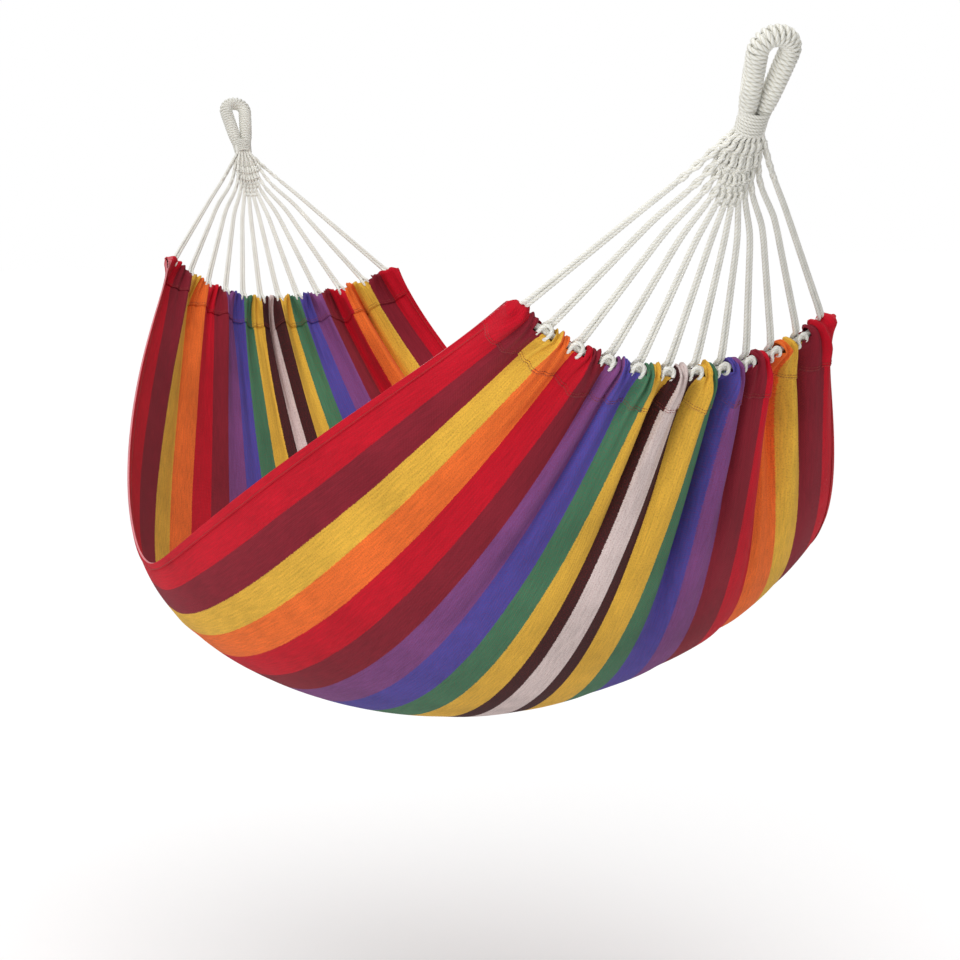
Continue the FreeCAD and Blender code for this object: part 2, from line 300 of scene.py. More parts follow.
def grid_sheet(name, columns, rows, shape, flat, solid=CLOTH_THICKNESS):
    """A grid carried to shape(a, b), with a UV map of flat(a, b) metres and its cloth's thickness."""
    bpy.ops.object.select_all(action="DESELECT")
    bpy.ops.mesh.primitive_grid_add(x_subdivisions=columns, y_subdivisions=rows, size=1)
    sheet = bpy.context.object
    sheet.name = sheet.data.name = name
    count = len(sheet.data.vertices)
    places = np.empty(count * 3)
    sheet.data.vertices.foreach_get("co", places)
    a, b = (places.reshape(-1, 3)[:, :2] + 0.5).T
    sheet.data.vertices.foreach_set("co", shape(a, b).reshape(-1))
    corners = np.empty(len(sheet.data.loops), dtype=np.int32)
    sheet.data.loops.foreach_get("vertex_index", corners)
    layer = sheet.data.uv_layers[0]
    layer.name = "Cloth"
    layer.data.foreach_set("uv", flat(a, b)[corners].reshape(-1))
    sheet.data.update()
    if solid:
        give_thickness(sheet, solid)
    return sheet


def give_thickness(sheet, thickness):
    """Solidifies a sheet evenly about its middle layer."""
    bpy.context.view_layer.objects.active = sheet
    solidify = sheet.modifiers.new("Thickness", "SOLIDIFY")
    solidify.thickness, solidify.offset, solidify.use_even_offset = thickness, 0.0, False
    bpy.ops.object.modifier_apply(modifier=solidify.name)
    smooth(sheet)


def smooth(piece):
    piece.data.polygons.foreach_set("use_smooth", [True] * len(piece.data.polygons))
    piece.data.update()


# %% [markdown]
# The bed itself is one sheet from hem to hem. Even rows would waste faces on the smooth middle,
# so its rows of vertices crowd towards the ends, where the pleats need them. It stops inside the
# folded hems.

# %% Bed cloth
BED_COLUMNS, BED_ROWS = 264, 178
BED_TUCK = 0.043                      # how far the bed's edge lies below the end rope
CROWDING = 0.4                        # of the rows, towards the ends


def crowded(b):
    """The place along the bed, -1 to 1, of a row of the grid at b, 0 to 1."""
    c = b * 2 - 1
    return (1 + CROWDING) * c - CROWDING * c ** 3


def flat_length(b):
    return (crowded(b) + 1) / 2 * CLOTH_LENGTH


def bed_shape(a, b):
    across = a * 2 - 1
    return pleated(across, crowded(b) * (1 - BED_TUCK / pace_at_row(across)))


def bed_flat(a, b):
    return np.stack([a * CLOTH_WIDTH, flat_length(b)], axis=-1)


bed_cloth = grid_sheet("bed_cloth_sheet", BED_COLUMNS, BED_ROWS, bed_shape, bed_flat)
bed_low, bed_high = bed_cloth.bound_box[0], bed_cloth.bound_box[6]
print("bed:", len(bed_cloth.data.vertices), "vertices, box", np.round(bed_low, 3), np.round(bed_high, 3))

# %% [markdown]
# Each end hem is the cloth folded over the end rope and stitched down again, with a small round
# notch wherever a cord is hitched. The bed's own edge could be extruded round the rope, but the
# whole bed would then need columns as fine as the notches. So the fold is a grid of its own,
# wrapped round the rope, and its faces in the notches are deleted in edit mode.

# %% End hems
FOLD_RADIUS, CORNER_SWELL, CORNER_PINCH = 0.0062, 0.0045, 0.80
SWELL_WIDTH, PINCH_WIDTH = 0.06, 0.010             # at the corners, as shares of half the row
FOLD_FLAP = 0.0013                    # of each flap off the bed cloth at the stitching
FLAP_CURVE = 1.5                      # how fast the flaps leave the rope for the cloth
NOTCH_HALF_WIDTH, NOTCH_DEPTH, NOTCH_LEAST = 0.0090, 0.0140, 0.0008
HEM_COLUMNS, HEM_ROWS = 440, 40
FLAP_SHARE = 0.42                     # of the grid's rows in each of the two flaps
RUFFLE, CORNER_TOP, CORNER_WIDTH = 1.20, 0.72, 0.05               # fold heights, in fold radii
STRIPE_SHIFT, SELVEDGE_MARGIN = 0.004, 0.004


def fold_radius(across):
    """The fold is fuller at the corners, where it covers a hitch too, and pinched flat at its edge."""
    from_edge = 1 - np.abs(across)
    full = FOLD_RADIUS + CORNER_SWELL * hump(from_edge, SWELL_WIDTH)
    return full * (1 - CORNER_PINCH * hump(from_edge, PINCH_WIDTH))


def flap_lift(down, across):
    """How far a flap stands off the bed's middle layer: the rope's radius at the top, little below."""
    rise = np.maximum(fold_radius(across) - FOLD_FLAP, 0.0)
    return FOLD_FLAP + rise * (1 - down / HEM_DEPTH) ** FLAP_CURVE


def fold_height(across):
    """How far the fold stands up over the rope: unevenly ruffled, but low at the corners."""
    ruffled = (RUFFLE + 0.45 * np.sin(61 * across) * np.sin(23 * across + 1)
               + 0.22 * np.sin(150 * across + 2 * np.sin(37 * across)))
    corner = hump(1 - np.abs(across), CORNER_WIDTH)
    return fold_radius(across) * (ruffled + (CORNER_TOP - ruffled) * corner)


def notch_top(across):
    """How far below the end rope the cloth starts, 0 away from the notches and at the corners."""
    place = (across + 1) / 2 * SECTIONS
    cord = np.round(place)
    off = gathered(np.abs(place - cord), -NOTCH_SPREAD, -NOTCH_SPREAD)
    off = off * 2 * FAN_HALF_ANGLE * FAN_RADIUS / SECTIONS / NOTCH_HALF_WIDTH
    cut = (off < 1) & (cord > 0) & (cord < SECTIONS)
    return np.where(cut, NOTCH_DEPTH * np.sqrt(np.maximum(1 - off ** 2, 0)), 0.0)


def hem_profile(b, top, across):
    """Distance down the cloth and lift off it, going up one flap, over the rope and down the other."""
    outside, inside = b < FLAP_SHARE, b > 1 - FLAP_SHARE
    climb = np.where(outside, b / FLAP_SHARE, np.where(inside, (1 - b) / FLAP_SHARE, 1.0))
    down = top + (HEM_DEPTH - top) * (1 - climb)
    lift = flap_lift(down, across)
    arch = (b - FLAP_SHARE) / (1 - 2 * FLAP_SHARE) * math.pi
    over = ~(outside | inside)
    down = np.where(over, -fold_height(across) * np.sin(np.where(over, arch, 0)), down)
    lift = np.where(over, fold_radius(across) * np.cos(arch), np.where(inside, -lift, lift))
    return down, lift


def end_hem(name, end):
    def shape(a, b):
        across = a * 2 - 1
        down, lift = hem_profile(b, notch_top(across), across)
        return pleated(across, end * (1 - down / pace_at_row(across)), lift)

    def flat(a, b):
        down, lift = hem_profile(b, 0.0 * a, a * 2 - 1)
        shift = STRIPE_SHIFT * np.sin(7 * a + end)            # the folded stripes never quite meet
        place = np.clip(a * CLOTH_WIDTH + shift, SELVEDGE_MARGIN, CLOTH_WIDTH - SELVEDGE_MARGIN)
        return np.stack([place, CLOTH_LENGTH / 2 * (1 + end) - end * down], axis=-1)

    hem = grid_sheet(name, HEM_COLUMNS, HEM_ROWS, shape, flat, solid=None)
    cut_notches(hem, HEM_COLUMNS, HEM_ROWS)
    give_thickness(hem, CLOTH_THICKNESS)
    return hem


def cut_notches(hem, columns, rows):
    """Deletes the faces of the fold's arch wherever a notch has taken the cloth away."""
    bpy.ops.object.select_all(action="DESELECT")
    hem.select_set(True)
    bpy.context.view_layer.objects.active = hem
    for face in hem.data.polygons:
        column, row = face.index % columns, face.index // columns
        middle = (column + 0.5) / columns * 2 - 1
        height = (row + 0.5) / rows
        cut = FLAP_SHARE < height < 1 - FLAP_SHARE and notch_top(np.array(middle)) > NOTCH_LEAST
        face.select = bool(cut)
    for edge in hem.data.edges:
        edge.select = False
    for vertex in hem.data.vertices:
        vertex.select = False
    for face in hem.data.polygons:
        if face.select:
            for index in face.vertices:
                hem.data.vertices[index].select = True
    bpy.ops.object.mode_set(mode="EDIT")
    bpy.ops.mesh.select_mode(type="FACE")
    bpy.ops.mesh.delete(type="FACE")
    bpy.ops.object.mode_set(mode="OBJECT")


hems = {end: end_hem(name, end) for name, end in (("near_end_hem", 1), ("far_end_hem", -1))}
print("hems:", [len(hem.data.polygons) for hem in hems.values()], "faces")

# %% [markdown]
# Along each selvedge the cloth is turned over by 12 mm and stitched. A thicker rim on the bed
# would look like piping, so the turned edge is a narrow grid that runs down the outside, round the
# edge and up the inside, and it follows the same pleats as the bed that it borders.

# %% Side hems
SIDE_HEM, SIDE_LIFT, EDGE_ROUND, SIDE_THICKNESS = 0.012, 0.0013, 0.0013, 0.0006
SIDE_COLUMNS, SIDE_ROWS = 20, 300
SIDE_FLAP = 0.4                       # of the grid's columns in each of the two flaps
FOLD_MARGIN, YARN_MARGIN = 0.005, 0.0001           # of the pattern, in from the very edge


def side_profile(a):
    """Distance in from the edge and lift, down the outer flap, round the edge and up the inner one."""
    bend = 1 - 2 * SIDE_FLAP
    turn = np.clip((a - SIDE_FLAP) / bend, 0, 1) * math.pi
    off = np.maximum(np.abs(a - 0.5) - bend / 2, 0) / SIDE_FLAP
    return off * SIDE_HEM - EDGE_ROUND * np.sin(turn), SIDE_LIFT * np.cos(turn)


def side_hem(name, side):
    def shape(a, b):
        inward, lift = side_profile(a)
        across = side * (1 - inward * 2 / CLOTH_WIDTH)
        return pleated(across, crowded(b) * (1 - BED_TUCK / pace_at_row(across)), lift)

    def flat(a, b):
        inward, lift = side_profile(a)
        from_fold = np.minimum(np.abs(a - 0.5) / (0.5 - SIDE_FLAP), 1) * FOLD_MARGIN
        inset = np.maximum(inward, 0) + from_fold + YARN_MARGIN
        return np.stack([(1 + side) / 2 * CLOTH_WIDTH - side * inset, flat_length(b)], axis=-1)

    return grid_sheet(name, SIDE_COLUMNS, SIDE_ROWS, shape, flat, solid=SIDE_THICKNESS)


side_hems = {side: side_hem(name, side) for name, side in (("front_side_hem", -1), ("back_side_hem", 1))}
print("side hems:", [len(hem.data.polygons) for hem in side_hems.values()], "faces")

# %% [markdown]
# The hems are sewn with a lock stitch: short lengths of thread that dip into the cloth at each
# needle hole. A dashed line in the material would be quicker, but it would lie flat. So each
# stitch is one small spindle with six sides, and a loop sets thousands of them along the seam
# lines, on both faces of the cloth.

# %% Stitches
STITCH_LENGTH, STITCH_GAP, THREAD_RADIUS = 0.0030, 0.0006, 0.00038
SPINDLE = ((0.0, 0.35), (0.25, 1.0), (0.75, 1.0), (1.0, 0.35))     # share of length, share of radius
SPINDLE_SIDES = 6
SEAM_POINTS = 700                     # measured along each seam
THREAD_PROUD, THREAD_ROOT = 0.0006, 0.0010         # of the thread over the cloth, and a point below it
SIDE_THREAD_PROUD = 0.0004
SEAMS_UP = (0.0025, 0.0065)           # of the two end seams, from the hem's lower edge
SIDE_SEAM_IN = 0.002                  # of the side seam, from the side hem's inner edge


def seam(name, lines):
    """One mesh with a spindle for every stitch along each line of points and outward directions."""
    vertices, faces = [], []
    for points, outward in lines:
        run = np.concatenate([[0], np.cumsum(np.linalg.norm(np.diff(points, axis=0), axis=1))])
        starts = np.arange(0.001, run[-1] - STITCH_LENGTH, STITCH_LENGTH)
        for start in starts:
            ends = [np.array([np.interp(at, run, points[:, k]) for k in range(3)])
                    for at in (start, start + STITCH_LENGTH - STITCH_GAP)]
            up = np.array([np.interp(start, run, outward[:, k]) for k in range(3)])
            axis = ends[1] - ends[0]
            side = np.cross(axis, up)
            side /= np.linalg.norm(side)
            up = np.cross(side, axis / np.linalg.norm(axis))
            first = len(vertices)
            for share, width in SPINDLE:
                for k in range(SPINDLE_SIDES):
                    angle = 2 * math.pi * k / SPINDLE_SIDES
                    offset = side * math.cos(angle) + up * math.sin(angle)
                    vertices.append(ends[0] + axis * share + offset * THREAD_RADIUS * width)
            last = first + (len(SPINDLE) - 1) * SPINDLE_SIDES
            for ring in range(first, last, SPINDLE_SIDES):
                for k in range(SPINDLE_SIDES):
                    a, b = ring + k, ring + (k + 1) % SPINDLE_SIDES
                    faces.append((a, b, b + SPINDLE_SIDES, a + SPINDLE_SIDES))
            faces.append(tuple(first + k for k in reversed(range(SPINDLE_SIDES))))
            faces.append(tuple(last + k for k in range(SPINDLE_SIDES)))
    return mesh_piece(name, vertices, faces)


def mesh_piece(name, vertices, faces):
    """A new smooth-shaded piece with its place in its mesh."""
    mesh = bpy.data.meshes.new(name)
    mesh.from_pydata([tuple(v) for v in vertices], [], faces)
    mesh.update()
    piece = bpy.data.objects.new(name, mesh)
    bpy.context.scene.collection.objects.link(piece)
    smooth(piece)
    return piece


def hem_seam_lines(end):
    across = np.linspace(-0.99, 0.99, SEAM_POINTS)
    for up in SEAMS_UP:
        below = HEM_DEPTH - up
        for face in (1, -1):
            flap = flap_lift(below, across)
            along = end * (1 - below / pace_at_row(across))
            outer = pleated(across, along, face * (flap + THREAD_PROUD))
            inner = pleated(across, along, face * (flap - THREAD_ROOT))
            yield outer, outer - inner


def side_seam_lines(side):
    along = np.linspace(-0.975, 0.975, SEAM_POINTS)
    across = side * (1 - (SIDE_HEM - SIDE_SEAM_IN) * 2 / CLOTH_WIDTH)
    for face in (1, -1):
        outer = pleated(across, along, face * (SIDE_LIFT + SIDE_THREAD_PROUD))
        inner = pleated(across, along, face * (SIDE_LIFT - THREAD_ROOT))
        yield outer, outer - inner


seams = [seam("near_hem_stitches", hem_seam_lines(1)), seam("far_hem_stitches", hem_seam_lines(-1)),
         seam("front_side_stitches", side_seam_lines(-1)), seam("back_side_stitches", side_seam_lines(1))]
print("stitch faces:", [len(piece.data.polygons) for piece in seams])

# %% [markdown]
# Rope and cord are laid: three strands of yarn twisted round each other. Three separate tubes
# would need three times the faces, and a bump would leave the outline smooth. So the section is
# three overlapping circles, and its ring of vertices turns as it travels, one full turn for each
# lay. A frame carried along the path without twisting of its own keeps the lay even round bends.

# %% Laid rope
GROOVE_FLOOR = 0.87                   # loose yarn fills the grooves up to this share of the radius
CORD_LAY, END_ROPE_LAY, WEFT_LAY, WHIP_LAY, CORE_LAY = 0.0155, 0.022, 0.011, 0.019, 0.05


def travel(path):
    """Tangents and two untwisted directions across them, for an (n, 3) path."""
    tangents = np.gradient(path, axis=0)
    tangents /= np.linalg.norm(tangents, axis=1, keepdims=True)
    across = np.cross(tangents[0], (0.0, 0.0, 1.0) if abs(tangents[0][2]) < 0.9 else (1.0, 0.0, 0.0))
    firsts = np.empty_like(path)
    for i, tangent in enumerate(tangents):
        across = across - tangent * across.dot(tangent)
        across = across / np.linalg.norm(across)
        firsts[i] = across
    return tangents, firsts, np.cross(tangents, firsts)


def evenly(path, step):
    """The path again with its points a step apart, on a smooth curve through the given points."""
    path = np.asarray(path, float)
    run = np.concatenate([[0], np.cumsum(np.linalg.norm(np.diff(path, axis=0), axis=1))])
    slopes = np.gradient(path, run, axis=0)
    at = np.linspace(0, run[-1], max(int(run[-1] / step), 2))
    i = np.clip(np.searchsorted(run, at, side="right") - 1, 0, len(run) - 2)
    size = (run[i + 1] - run[i])[:, None]
    t = (at - run[i])[:, None] / size
    return ((2 * t ** 3 - 3 * t ** 2 + 1) * path[i] + (t ** 3 - 2 * t ** 2 + t) * size * slopes[i]
            + (3 * t ** 2 - 2 * t ** 3) * path[i + 1] + (t ** 3 - t ** 2) * size * slopes[i + 1]), at


def laid_rope(name, paths, radius, lay, strands=3, per_strand=4, step=0.0016, hand=1):
    """One mesh of laid ropes, one for each path."""
    ring = strands * per_strand
    phase = np.arange(ring) / ring
    off = (np.abs((phase * strands) % 1 - 0.5) * 2) * math.pi / strands       # 0 on a ridge's middle
    centre = radius / (1 + math.sin(math.pi / strands))
    strand = radius - centre
    bulge = centre * np.cos(off) + np.sqrt(np.maximum(strand ** 2 - (centre * np.sin(off)) ** 2, 0))
    bulge = np.maximum(bulge, GROOVE_FLOOR * radius)
    vertices, faces, marks = [], [], []
    for path in paths:
        line, at = evenly(path, step)
        tangents, firsts, seconds = travel(line)
        turn = hand * 2 * math.pi * at[:, None] / lay + 2 * math.pi * phase[None, :]
        outwards = (np.cos(turn)[..., None] * firsts[:, None, :]
                    + np.sin(turn)[..., None] * seconds[:, None, :])
        rings = line[:, None, :] + bulge[None, :, None] * outwards
        first = sum(len(block) for block in vertices)
        vertices.append(rings.reshape(-1, 3))
        count = len(line)
        corner = first + np.arange(count - 1)[:, None] * ring + np.arange(ring)[None, :]
        beside = first + np.arange(count - 1)[:, None] * ring + (np.arange(ring)[None, :] + 1) % ring
        quads = np.stack([corner, beside, beside + ring, corner + ring], axis=-1).reshape(-1, 4)
        faces.extend(map(tuple, quads.tolist()))
        low = np.broadcast_to(phase[None, :], (count - 1, ring))
        high = low + 1 / ring
        here, there = np.broadcast_to(at[:-1, None], low.shape), np.broadcast_to(at[1:, None], low.shape)
        marks.append(np.stack([low, here, high, here, high, there, low, there], axis=-1).reshape(-1, 2))
        faces.append(tuple(range(first + ring - 1, first - 1, -1)))
        faces.append(tuple(first + (count - 1) * ring + k for k in range(ring)))
        marks.append(np.tile([[0.5 / strands, 0.0]], (2 * ring, 1)))
    piece = mesh_piece(name, np.concatenate(vertices), faces)
    layer = piece.data.uv_layers.new(name="Cord")
    layer.data.foreach_set("uv", np.concatenate(marks).reshape(-1))
    return piece


# %% [markdown]
# The end ropes run inside the hems and carry the pull of the cords. They show only in the notches,
# and their ends lie hidden in the folded corners, so plain laid rope with flat ends is enough.

# %% End ropes
END_ROPE_OVERHANG = 0.001              # past the corner cords: hidden in the folded corners


def mirror(points, end):
    """Carries points of the near end to the far end, for end -1."""
    points = np.array(points, dtype=float)
    if end < 0:
        points[..., 0] = 2 * middle_x - points[..., 0]
    return points


def end_rope(name, end):
    spare = END_ROPE_OVERHANG / (FAN_RADIUS * FAN_HALF_ANGLE)
    path = mirror(row_point(np.linspace(-1 - spare, 1 + spare, 60)), end)
    return laid_rope(name, [path], END_ROPE_RADIUS, lay=END_ROPE_LAY, per_strand=6)


end_ropes = {end: end_rope(name, end) for name, end in (("near_end_rope_laid", 1), ("far_end_rope_laid", -1))}
print("end ropes:", [len(rope.data.polygons) for rope in end_ropes.values()], "faces")

# %% [markdown]
# Each suspension cord is one length, doubled. Its middle makes a cow hitch on the end rope: both
# legs go down behind the rope, come up in front of it and meet in a bar that crosses the legs.
# From there the legs run side by side up to the woven top, where twenty-four of them crowd
# together, four deep, into the bundle under the neck binding. They are pulled tight, so each path
# is worked out point by point, and only the hitch is a short list of given points.

# %% Doubled cords
STRAND_SPACING = 0.0049
BUNDLE_LAYERS, BUNDLE_COLUMN, BUNDLE_LAYER, BUNDLE_STAGGER = 4, 0.0042, 0.0037, 0.0011
BUNDLE_START = -0.002                               # radius at which the strands leave the binding
CLEW_PINCH = 0.10                                   # how much the weft draws the inner legs together
WEAVE_SWING, WEAVE_PERIOD = 0.0014, 0.020
LAYER_ORDER = (0, 2, 1, 3)
LAYER_CLOSING = 1.3                                 # how soon the layers of legs become one row
CORNER_INSET = 0.98                   # the corner hitches sit a little inside the folded corners
HITCH_REACH = 0.036                   # from the end rope up to the last worked-out point of a leg
HITCH = (                                           # sideways, outward and downward, in metres
    (0.00245, -0.0004, -0.0240),
    (0.00250, -0.0014, -0.0130),
    (0.00320, -0.0050, -0.0060),
    (0.00400, -0.0066, 0.0000),
    (0.00450, -0.0046, 0.0048),
    (0.00500, 0.0000, 0.0067),
    (0.00560, 0.0046, 0.0048),
    (0.00600, 0.0066, -0.0006),
    (0.00560, 0.0062, -0.0062),
    (0.00350, 0.0058, -0.0098),
    (0.00000, 0.0056, -0.0110),
)
CORNER_HITCH = HITCH[:6] + ((0.00450, 0.0046, 0.0030), (0.00250, 0.0062, 0.0000), (0.00000, 0.0064, -0.0010))


def fan_frame(across, radius):
    """Directions sideways, outwards and down the fan, at one of its points."""
    step = 1e-4
    down = fan_point(across, radius + step) - fan_point(across, radius - step)
    side = fan_point(across + step, radius) - fan_point(across - step, radius)
    down /= np.linalg.norm(down)
    side -= down * side.dot(down)
    side /= np.linalg.norm(side)
    return side, np.cross(side, -down), down


def leg_ends(across, number):
    """Where a leg leaves the binding, and where it reaches its hitch; number counts the 24 legs."""
    side = fan_frame(across, row_radius(across))[0]
    hitched = row_point(across) + side * (number % 2 * 2 - 1) * STRAND_SPACING / 2
    place = number // BUNDLE_LAYERS - (2 * ATTACHMENTS / BUNDLE_LAYERS - 1) / 2
    sideways = place * BUNDLE_COLUMN + (number % BUNDLE_LAYERS - 1.5) * BUNDLE_STAGGER
    return near_neck + SIDEWAYS * sideways, hitched


def leg_point(across, number, radius):
    """Where a leg is at a distance from the neck: straight, but for the woven top."""
    bundled, hitched = leg_ends(across, number)
    _, middle_out, middle_down = fan_frame(0.0, FAN_RADIUS)
    inside = min(radius - BUNDLE_START, 0.0)
    share = (radius - BUNDLE_START - inside) / (row_radius(across) - BUNDLE_START)
    pinched = math.sin(math.pi * min(max(radius / CLEW_RADIUS / 1.5, 0), 1)) ** 2
    pinch = CLEW_PINCH * pinched * (1 - across ** 4)
    layer = LAYER_ORDER[number % BUNDLE_LAYERS] - (BUNDLE_LAYERS - 1) / 2
    deep = layer * BUNDLE_LAYER * min(max(1 - radius / CLEW_RADIUS, 0), 1) ** LAYER_CLOSING
    weave = float(np.clip((CLEW_RADIUS - radius) / 0.02, 0, 1) * np.clip((radius - 0.002) / 0.008, 0, 1))
    weave *= WEAVE_SWING * math.sin(2 * math.pi * radius / WEAVE_PERIOD + math.pi * (number % 2))
    reach = hitched - bundled
    return (bundled + reach * share - SIDEWAYS * reach[1] * pinch
            + middle_down * inside + middle_out * (deep + weave))


def hitch_frame(across, index):
    """Directions along the end rope, outwards, and down along the cord that is hitched there."""
    starts, stops = zip(leg_ends(across, 2 * index), leg_ends(across, 2 * index + 1))
    down = sum(stops) - sum(starts)
    down /= np.linalg.norm(down)
    side = row_point(across + 0.001) - row_point(across - 0.001)
    side -= down * side.dot(down)
    side /= np.linalg.norm(side)
    return side, np.cross(side, -down), down


def doubled_cord(name, index, end):
    """One doubled cord, from inside the neck round its hitch and back."""
    corner = index in (0, ATTACHMENTS - 1)
    across = (-1 + 2 * index / (ATTACHMENTS - 1)) * (CORNER_INSET if corner else 1)
    side, out, down = hitch_frame(across, index)
    knot = row_point(across)
    radii = np.concatenate([np.arange(-0.016, CLEW_RADIUS + 0.02, 0.003),
                            np.linspace(CLEW_RADIUS + 0.03, row_radius(across) - HITCH_REACH, 8)])
    halves = []
    for hand in (-1, 1):
        legs = [leg_point(across, 2 * index + (hand > 0), radius) for radius in radii]
        halves.append(legs + [knot + side * hand * t + out * n + down * d
                              for t, n, d in (CORNER_HITCH if corner else HITCH)])
    path = np.array(halves[0] + halves[1][-2::-1])
    cord_lengths.append(np.linalg.norm(np.diff(path, axis=0), axis=1).sum())
    return laid_rope(name, [mirror(path, end)], CORD_RADIUS, lay=CORD_LAY, hand=end)


cord_lengths = []
ENDS = (("near", 1), ("far", -1))
cords = {(word, i): doubled_cord("%s_cord_%02d_laid" % (word, i + 1), i, end)
         for word, end in ENDS for i in range(ATTACHMENTS)}
print("cords:", len(cords), "of", len(cords["near", 0].data.polygons), "faces each,",
      "lengths", [round(float(length), 3) for length in cord_lengths[:ATTACHMENTS]])

# %% [markdown]
# Under the neck the legs are woven into a small triangle that keeps them in order. A patterned
# panel would look solid, so real weft cords go over one leg and under the next, and each lower row
# reaches less far out, so that the outer cords leave the triangle first.

# %% Woven tops
WEFT_RADIUS, WEFT_STEP = 0.0019, 0.0014
WEFT_ROWS = tuple(np.arange(0.010, 0.090, 0.0075))  # distances from the neck
WEFT_NARROWING, WEFT_SLACK = 1.3, 0.0004


def woven_top(name, end):
    paths = []
    for row, radius in enumerate(WEFT_ROWS):
        narrowed = ((radius - WEFT_ROWS[0]) / (CLEW_RADIUS - WEFT_ROWS[0])) ** WEFT_NARROWING
        low = int(round(narrowed * (ATTACHMENTS - 1)))
        numbers = range(low, 2 * ATTACHMENTS - low)
        path = []
        for number in numbers:
            across = -1 + 2 * (number // 2) / (ATTACHMENTS - 1)
            out = fan_frame(across, radius)[1]
            front = 1 if (number + row) % 2 else -1
            path.append(leg_point(across, number, radius) + out * front * (CORD_RADIUS + WEFT_SLACK))
        paths.append(mirror(path, end))
    return laid_rope(name, paths, WEFT_RADIUS, lay=WEFT_LAY, step=WEFT_STEP)


woven_tops = {word: woven_top("%s_woven_top" % word, end) for word, end in ENDS}
print("woven tops:", len(WEFT_ROWS), "weft rows each")

# %% [markdown]
# The neck is bound with a few tight turns of cord. Stacked rings would show that no turn leads to
# the next, so the binding is one helix, a little flattened, that widens towards the eye.

# %% Neck bindings
NECK_TOP, NECK_FOOT = 0.0170, 0.0150                # outside radius at the limbs and at the cords
NECK_HEIGHT, NECK_FLATNESS = 0.024, 0.80
BINDING_RADIUS, BINDING_PITCH = 0.0021, 0.0038
TURN_STEP = 0.12                                    # radians from one point of the helix to the next
EYE_OUT = np.cross(SIDEWAYS, eye_axis)


def neck_binding(name, end):
    start, stop = 0.0005, NECK_HEIGHT + 0.001
    angle = np.arange(0, 2 * math.pi * (stop - start) / BINDING_PITCH, TURN_STEP)
    share = (angle / angle[-1])[:, None]
    radius = NECK_FOOT + (NECK_TOP - NECK_FOOT) * share - BINDING_RADIUS
    path = (near_neck + (start + (stop - start) * share) * eye_axis
            + radius * (np.cos(angle)[:, None] * SIDEWAYS + NECK_FLATNESS * np.sin(angle)[:, None] * EYE_OUT))
    return laid_rope(name, [mirror(path, end)], BINDING_RADIUS, lay=WEFT_LAY, step=WEFT_STEP)


bindings = {word: neck_binding("%s_neck_binding" % word, end) for word, end in ENDS}
print("neck bindings: %.1f turns each" % (NECK_HEIGHT / BINDING_PITCH))

# %% [markdown]
# The eye is a bundle of the same legs, bent into a loop and whipped closely from foot to foot. A
# torus with a spiral bump would be too round and too smooth. So a middle line is drawn, from two
# straight limbs and the arc of the crown, and it carries both a thick core and a helix of cord.

# %% Eyes
BEND_RADIUS, CROWN_HEIGHT, LIMB_OFFSET = 0.0170, 0.0925, 0.0076
LIMB_FOOT = 0.018                                   # the limbs start inside the neck binding
CORE_RADIUS, WHIP_RADIUS, WHIP_PITCH = 0.0070, 0.0029, 0.0050
WHIP_OUTSIDE, WHIP_FOOT = 0.0115, 0.0080            # outside radius of a limb, and at its foot
WHIP_TAPER, WHIP_STEP = 0.014, 0.0018


def loop_path():
    """The eye's middle line in (sideways, up) metres, from one foot over the crown to the other."""
    foot = np.array([LIMB_OFFSET, LIMB_FOOT])
    crown = np.array([0.0, CROWN_HEIGHT])
    reach = crown - foot
    distance = np.linalg.norm(reach)
    lean = math.atan2(reach[1], reach[0]) - math.asin(BEND_RADIUS / distance)
    straight = math.sqrt(distance ** 2 - BEND_RADIUS ** 2)
    touch = foot + straight * np.array([math.cos(lean), math.sin(lean)])
    opening = math.atan2(*(touch - crown)[::-1])
    arc = np.linspace(opening, math.pi - opening, 60)
    run = np.linspace(0, 1, 30)[:-1, None]
    limb = foot + (touch - foot) * run
    bend = crown + BEND_RADIUS * np.stack([np.cos(arc), np.sin(arc)], axis=-1)
    return np.concatenate([limb, bend, (limb * (-1, 1))[::-1]])


def eye_pieces(word, end):
    """The core of an eye, and the whipping that is wound round it."""
    flat = loop_path()
    path = near_neck + flat[:, :1] * SIDEWAYS + flat[:, 1:] * eye_axis
    core = laid_rope("%s_eye_core_laid" % word, [mirror(path, end)], CORE_RADIUS, lay=CORE_LAY,
                     strands=6, per_strand=3)
    line, at = evenly(path, 0.0005)
    tangents, firsts, seconds = travel(line)
    turn = 2 * math.pi * at / WHIP_PITCH
    from_foot = np.minimum(at, at[-1] - at)
    outside = WHIP_FOOT + (WHIP_OUTSIDE - WHIP_FOOT) * grows(from_foot, WHIP_TAPER)
    thin = (outside - WHIP_RADIUS)[:, None]
    helix = line + thin * (np.cos(turn)[:, None] * firsts + np.sin(turn)[:, None] * seconds)
    whip = laid_rope("%s_eye_whipping" % word, [mirror(helix, end)], WHIP_RADIUS, lay=WHIP_LAY,
                     step=WHIP_STEP)
    return core, whip


eyes = {word: eye_pieces(word, end) for word, end in ENDS}
print("eye whipping:", len(eyes["near"][1].data.polygons), "faces")

# %% [markdown]
# The bed is a plain weave in dyed cotton: the warp runs lengthwise and carries the stripes, and
# one thin weft crosses them all, so every stripe is flecked with the weft's dark red and each
# border between two stripes is a little ragged. A material for each stripe would cut the cloth
# into strips, so one colour ramp is read from the flat cloth's own coordinates: 22 equal widths
# from selvedge to selvedge, the middle two holding a pale stripe between two narrow dark ones.

